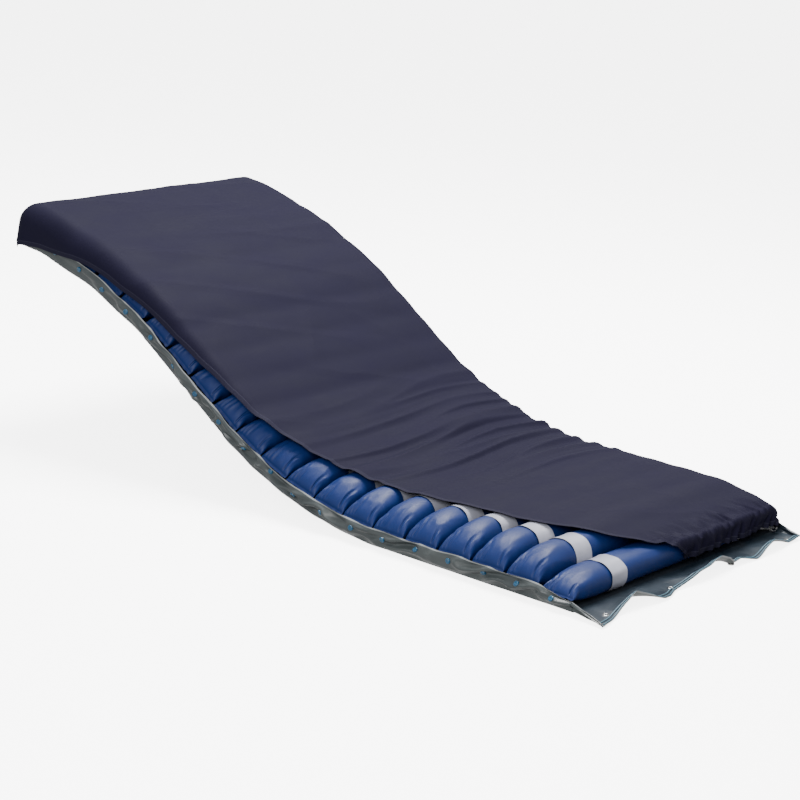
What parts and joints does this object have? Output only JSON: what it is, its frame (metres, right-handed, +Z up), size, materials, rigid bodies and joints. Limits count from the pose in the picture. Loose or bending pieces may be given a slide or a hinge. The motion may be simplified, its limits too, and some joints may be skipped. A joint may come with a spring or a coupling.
{
  "type": "pressure relief mattress",
  "caption": "Alternating air cell mattress overlay, raised at the back, with tubular cells in white loops on a base sheet with side flaps, under a dark wrap-over cover.",
  "frame": {"origin": "centre of the seat section's underside, on the surface that the mattress lies on", "axes": "+X towards the foot end, +Y across to the side with the air lines, +Z up"},
  "size_m": [1.9655, 0.9, 0.6192],
  "materials": {
    "cell_nylon": "satin",
    "base_nylon": "satin",
    "loop_satin": "satin",
    "cover_stretch": "matte",
    "line_vinyl": "satin",
    "inlet_plastic": "satin",
    "eyelet_nickel": "polished"
  },
  "bodies": {
    "calf": {"air_cell_01": "cell_nylon", "air_cell_02": "cell_nylon", "base_sheet_calf": "base_nylon", "cell_loops_calf": "loop_satin", "top_cover_calf": "cover_stretch", "foot_eyelets": "eyelet_nickel", "air_inlet": "inlet_plastic"},
    "thigh": {"air_cell_03": "cell_nylon", "air_cell_04": "cell_nylon", "base_sheet_thigh": "base_nylon", "cell_loops_thigh": "loop_satin", "top_cover_thigh": "cover_stretch"},
    "seat": {"air_cell_05": "cell_nylon", "air_cell_06": "cell_nylon", "base_sheet_seat": "base_nylon", "cell_loops_seat": "loop_satin", "top_cover_seat": "cover_stretch", "air_line_a": "line_vinyl", "air_line_b": "line_vinyl"},
    "waist_1": {"air_cell_07": "cell_nylon", "base_sheet_waist_1": "base_nylon", "cell_loops_waist_1": "loop_satin", "top_cover_waist_1": "cover_stretch"},
    "waist_2": {"air_cell_08": "cell_nylon", "base_sheet_waist_2": "base_nylon", "cell_loops_waist_2": "loop_satin", "top_cover_waist_2": "cover_stretch"},
    "waist_3": {"air_cell_09": "cell_nylon", "base_sheet_waist_3": "base_nylon", "cell_loops_waist_3": "loop_satin", "top_cover_waist_3": "cover_stretch"},
    "waist_4": {"air_cell_10": "cell_nylon", "base_sheet_waist_4": "base_nylon", "cell_loops_waist_4": "loop_satin", "top_cover_waist_4": "cover_stretch"},
    "waist_5": {"air_cell_11": "cell_nylon", "base_sheet_waist_5": "base_nylon", "cell_loops_waist_5": "loop_satin", "top_cover_waist_5": "cover_stretch"},
    "back": {"air_cell_12": "cell_nylon", "air_cell_13": "cell_nylon", "air_cell_14": "cell_nylon", "air_cell_15": "cell_nylon", "base_sheet_back": "base_nylon", "cell_loops_back": "loop_satin", "top_cover_back": "cover_stretch"},
    "neck_1": {"air_cell_16": "cell_nylon", "air_cell_17": "cell_nylon", "base_sheet_neck_1": "base_nylon", "cell_loops_neck_1": "loop_satin", "top_cover_neck_1": "cover_stretch"},
    "neck_2": {"air_cell_18": "cell_nylon", "air_cell_19": "cell_nylon", "base_sheet_neck_2": "base_nylon", "cell_loops_neck_2": "loop_satin", "top_cover_neck_2": "cover_stretch"},
    "head": {"air_cell_20": "cell_nylon", "base_sheet_head": "base_nylon", "cell_loops_head": "loop_satin", "top_cover_head": "cover_stretch"}
  },
  "joints": [
    {"name": "thigh_bend", "type": "hinge", "parent": "seat", "child": "thigh", "pos_m": [0.1, 0, 0.001], "axis": [0, -1, 0], "range_deg": [0, 10], "deforming": ["air_line_a", "air_line_b"]},
    {"name": "knee_bend", "type": "hinge", "parent": "thigh", "child": "calf", "pos_m": [0.3, 0, 0.001], "axis": [0, -1, 0], "range_deg": [-16, 0], "deforming": ["air_line_a", "air_line_b"]},
    {"name": "waist_bend_1", "type": "hinge", "parent": "seat", "child": "waist_1", "pos_m": [-0.1, 0, 0.001], "axis": [0, 1, 0], "range_deg": [-5.5, 4.5], "deforming": ["air_line_a", "air_line_b"]},
    {"name": "waist_bend_2", "type": "hinge", "parent": "waist_1", "child": "waist_2", "pos_m": [-0.19954, 0, 0.01059], "axis": [0, 1, 0], "range_deg": [-5.5, 4.5], "deforming": ["air_line_a", "air_line_b"]},
    {"name": "waist_bend_3", "type": "hinge", "parent": "waist_2", "child": "waist_3", "pos_m": [-0.2977, 0, 0.02967], "axis": [0, 1, 0], "range_deg": [-5.5, 4.5], "deforming": ["air_line_a", "air_line_b"]},
    {"name": "waist_bend_4", "type": "hinge", "parent": "waist_3", "child": "waist_4", "pos_m": [-0.39358, 0, 0.05807], "axis": [0, 1, 0], "range_deg": [-5.5, 4.5], "deforming": ["air_line_a", "air_line_b"]},
    {"name": "waist_bend_5", "type": "hinge", "parent": "waist_4", "child": "waist_5", "pos_m": [-0.4863, 0, 0.09553], "axis": [0, 1, 0], "range_deg": [-5.5, 4.5], "deforming": ["air_line_a", "air_line_b"]},
    {"name": "waist_bend_6", "type": "hinge", "parent": "waist_5", "child": "back", "pos_m": [-0.575, 0, 0.1417], "axis": [0, 1, 0], "range_deg": [-5.5, 4.5], "deforming": ["air_line_a", "air_line_b"]},
    {"name": "neck_bend_1", "type": "hinge", "parent": "back", "child": "neck_1", "pos_m": [-0.91047, 0, 0.35956], "axis": [0, 1, 0], "range_deg": [-3.4, 8.6], "deforming": ["air_line_a", "air_line_b"]},
    {"name": "neck_bend_2", "type": "hinge", "parent": "neck_1", "child": "neck_2", "pos_m": [-1.09261, 0, 0.44218], "axis": [0, 1, 0], "range_deg": [-3.4, 8.6], "deforming": ["air_line_a", "air_line_b"]},
    {"name": "neck_bend_3", "type": "hinge", "parent": "neck_2", "child": "head", "pos_m": [-1.28505, 0, 0.49663], "axis": [0, 1, 0], "range_deg": [-3.4, 8.6], "deforming": ["air_line_a", "air_line_b"]}
  ],
  "couplings": [
    {"joint": "knee_bend", "follows": "thigh_bend", "ratio": -1.6},
    {"joint": "waist_bend_2", "follows": "waist_bend_1", "ratio": 1},
    {"joint": "waist_bend_3", "follows": "waist_bend_1", "ratio": 1},
    {"joint": "waist_bend_4", "follows": "waist_bend_1", "ratio": 1},
    {"joint": "waist_bend_5", "follows": "waist_bend_1", "ratio": 1},
    {"joint": "waist_bend_6", "follows": "waist_bend_1", "ratio": 1},
    {"joint": "neck_bend_2", "follows": "neck_bend_1", "ratio": 1},
    {"joint": "neck_bend_3", "follows": "neck_bend_1", "ratio": 1}
  ]
}
